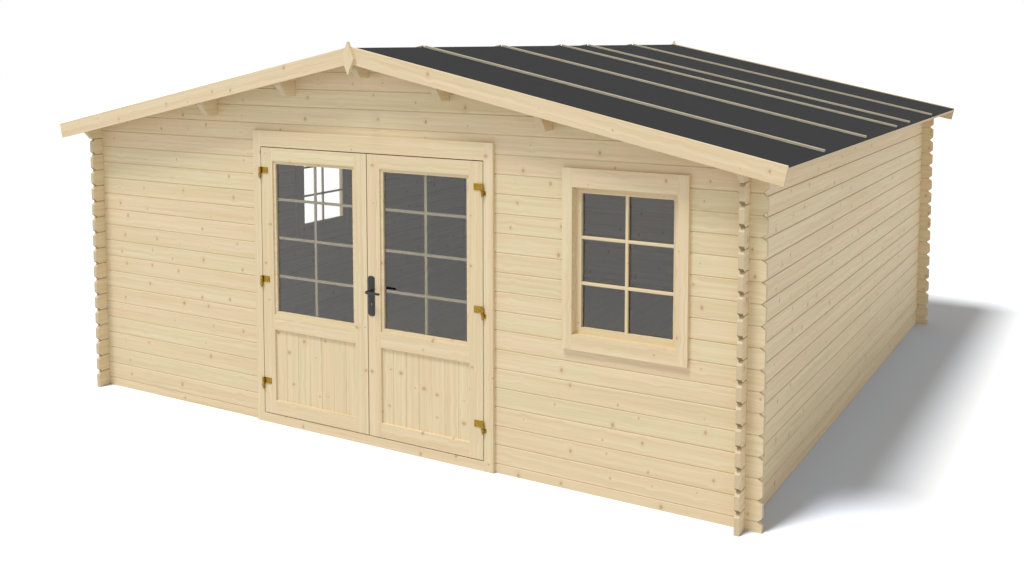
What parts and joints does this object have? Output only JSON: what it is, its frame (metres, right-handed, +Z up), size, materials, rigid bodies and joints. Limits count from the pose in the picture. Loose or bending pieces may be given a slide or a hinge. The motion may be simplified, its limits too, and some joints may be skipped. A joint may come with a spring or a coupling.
{
  "type": "garden house",
  "caption": "Log garden house with crossed corner logs, low pitched felt roof on purlins, glazed double door that opens outwards and fixed paned windows.",
  "frame": {"origin": "middle of the plan at ground level", "axes": "+Z up, -Y out of the front wall with the door, +X to the right seen from the front"},
  "size_m": [5.2848, 5.178, 2.5033],
  "materials": {
    "spruce": "planed, untreated",
    "rough_timber": "sawn",
    "weathered_batten": "sawn",
    "roofing_felt": "mineral grit",
    "window_glass": "clear",
    "brass": "satin",
    "black_metal": "satin black"
  },
  "bodies": {
    "house": {"floor_bearers": "rough_timber", "floor_boards": "spruce", "front_left_odd_logs": "spruce", "front_left_even_logs": "spruce", "front_right_odd_logs": "spruce", "front_right_even_logs": "spruce", "front_gable_odd_logs": "spruce", "front_gable_even_logs": "spruce", "rear_odd_logs": "spruce", "rear_even_logs": "spruce", "left_wall_odd_logs": "spruce", "left_wall_even_logs": "spruce", "right_wall_odd_logs": "spruce", "right_wall_even_logs": "spruce", "ridge_purlin": "spruce", "left_purlins": "spruce", "right_purlins": "spruce", "left_roof_boards": "spruce", "right_roof_boards": "spruce", "left_roof_felt": "roofing_felt", "right_roof_felt": "roofing_felt", "felt_battens": "weathered_batten", "front_barge_boards": "spruce", "rear_barge_boards": "spruce", "finials": "spruce", "door_posts": "spruce", "door_head": "spruce", "door_sill": "spruce", "hinge_pins": "brass", "front_window_frame": "spruce", "front_window_sash": "spruce", "front_window_glass": "window_glass", "side_window_frame": "spruce", "side_window_sash": "spruce", "side_window_glass": "window_glass"},
    "left_door": {"left_door_frame": "spruce", "left_door_panel": "spruce", "left_door_glass": "window_glass", "left_door_hinges": "brass"},
    "right_door": {"right_door_frame": "spruce", "right_door_panel": "spruce", "right_door_glass": "window_glass", "right_door_hinges": "brass", "lock_plates": "black_metal"},
    "door_handle": {"lever_handle": "black_metal"}
  },
  "joints": [
    {"name": "left_door_hinge", "type": "hinge", "parent": "house", "child": "left_door", "pos_m": [-0.847, -2.4425, 0.94], "axis": [0, 0, -1], "range_deg": [0, 110]},
    {"name": "right_door_hinge", "type": "hinge", "parent": "house", "child": "right_door", "pos_m": [0.847, -2.4425, 0.94], "axis": [0, 0, 1], "range_deg": [0, 110]},
    {"name": "lever_turn", "type": "hinge", "parent": "right_door", "child": "door_handle", "pos_m": [0.0425, -2.432, 0.98], "axis": [0, 1, 0], "range_deg": [0, 45], "stiffness_Nm_per_rad": 1.5, "springref_deg": -34.38}
  ]
}
